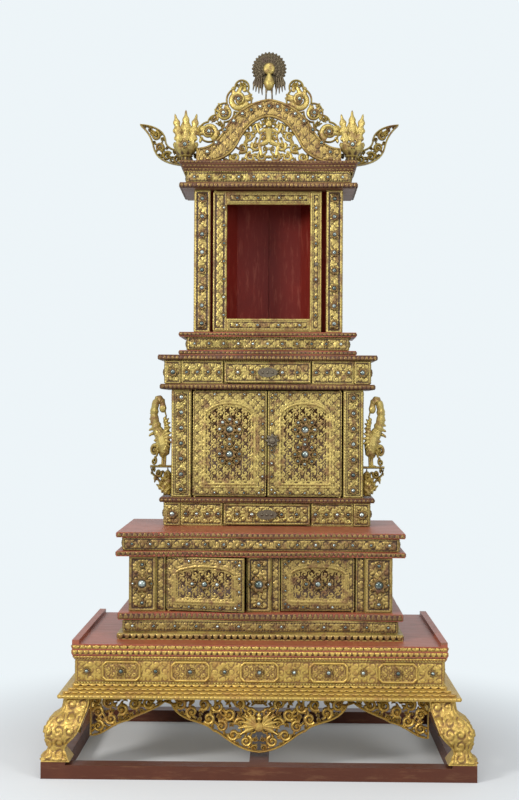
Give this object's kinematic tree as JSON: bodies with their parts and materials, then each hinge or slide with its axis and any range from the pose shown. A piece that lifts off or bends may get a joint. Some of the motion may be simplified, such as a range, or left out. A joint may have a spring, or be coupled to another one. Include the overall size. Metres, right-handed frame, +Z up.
{
  "type": "tiered votive shrine cabinet",
  "caption": "Free-standing tiered votive shrine of carved gilded wood: table on scroll legs, cabinets with hinged doors, drawers, a framed niche and a carved crest.",
  "frame": {"origin": "centre of the foot frame, on the ground", "axes": "+Z up, the front faces -Y, +X to the viewer's right"},
  "size_m": [1.6, 0.95, 2.812],
  "materials": {
    "gilding": "bright gilding over carved wood, worn to red lacquer on edges",
    "aged_gilding": "aged greenish gilding over carved wood with dark hollows",
    "red_lacquer": "worn satin red lacquer on wood",
    "dark_lacquer": "dark red brown lacquer, scuffed",
    "pull_bronze": "tarnished cast metal",
    "peacock_dark": "dark silvered carving with dull gilt centre",
    "glass_inlay": "small domed mirror glass pieces, clouded"
  },
  "bodies": {
    "shrine": {"foot_side_rails": "dark_lacquer", "foot_cross_rails": "dark_lacquer", "legs": "gilding", "apron_front": "gilding", "apron_sides": "gilding", "apron_back": "gilding", "base_bottom_board": "gilding", "base_frieze": "gilding", "table_top": "gilding", "table_side_rails": "red_lacquer", "lower_plinth": "gilding", "lower_floor": "red_lacquer", "lower_sides": "gilding", "lower_back": "dark_lacquer", "lower_pilasters": "gilding", "lower_top_board": "red_lacquer", "lower_frieze": "gilding", "lower_shelf": "red_lacquer", "lower_drawer_case": "gilding", "middle_floor": "gilding", "middle_sides": "gilding", "middle_back": "dark_lacquer", "middle_pilasters": "gilding", "middle_top_board": "gilding", "upper_drawer_case": "gilding", "upper_board": "gilding", "bird_brackets": "aged_gilding", "niche_foot_board": "red_lacquer", "niche_plinth": "gilding", "niche_floor": "red_lacquer", "niche_sides": "aged_gilding", "niche_back": "red_lacquer", "niche_lining": "red_lacquer", "niche_pilasters": "aged_gilding", "cornice_moulding": "aged_gilding", "cornice_frieze": "aged_gilding", "cornice_top": "aged_gilding", "crest_arch": "aged_gilding", "crest_tympanum": "aged_gilding", "crest_scrolls": "aged_gilding", "crown_finials": "aged_gilding", "crest_horns": "aged_gilding", "peacock": "peacock_dark"},
    "niche_door": {"niche_door": "aged_gilding", "niche_door_knob": "pull_bronze"},
    "middle_door_left": {"middle_door_left": "gilding"},
    "middle_door_right": {"middle_door_right": "gilding", "middle_door_knob": "pull_bronze"},
    "lower_door_left": {"lower_door_left": "gilding"},
    "lower_door_right": {"lower_door_right": "gilding"},
    "upper_drawer": {"upper_drawer": "gilding", "upper_drawer_pull": "pull_bronze"},
    "lower_drawer": {"lower_drawer": "gilding", "lower_drawer_pull": "pull_bronze"}
  },
  "joints": [
    {"name": "niche_door_pivot", "type": "hinge", "parent": "shrine", "child": "niche_door", "pos_m": [-0.197, 0.07, 1.96], "axis": [0, 0, -1], "range_deg": [0, 100]},
    {"name": "middle_door_left_pivot", "type": "hinge", "parent": "shrine", "child": "middle_door_left", "pos_m": [-0.275, 0.062, 1.219], "axis": [0, 0, -1], "range_deg": [0, 90]},
    {"name": "middle_door_right_pivot", "type": "hinge", "parent": "shrine", "child": "middle_door_right", "pos_m": [0.315, 0.062, 1.219], "axis": [0, 0, 1], "range_deg": [0, 90]},
    {"name": "lower_door_left_pivot", "type": "hinge", "parent": "shrine", "child": "lower_door_left", "pos_m": [-0.3535, -0.214, 0.687], "axis": [0, 0, -1], "range_deg": [-10, 80]},
    {"name": "lower_door_right_pivot", "type": "hinge", "parent": "shrine", "child": "lower_door_right", "pos_m": [0.3535, -0.214, 0.687], "axis": [0, 0, 1], "range_deg": [0, 90]},
    {"name": "upper_drawer_slide", "type": "slide", "parent": "shrine", "child": "upper_drawer", "axis": [0, -1, 0], "range_m": [0, 0.2]},
    {"name": "lower_drawer_slide", "type": "slide", "parent": "shrine", "child": "lower_drawer", "axis": [0, -1, 0], "range_m": [0, 0.2]}
  ]
}
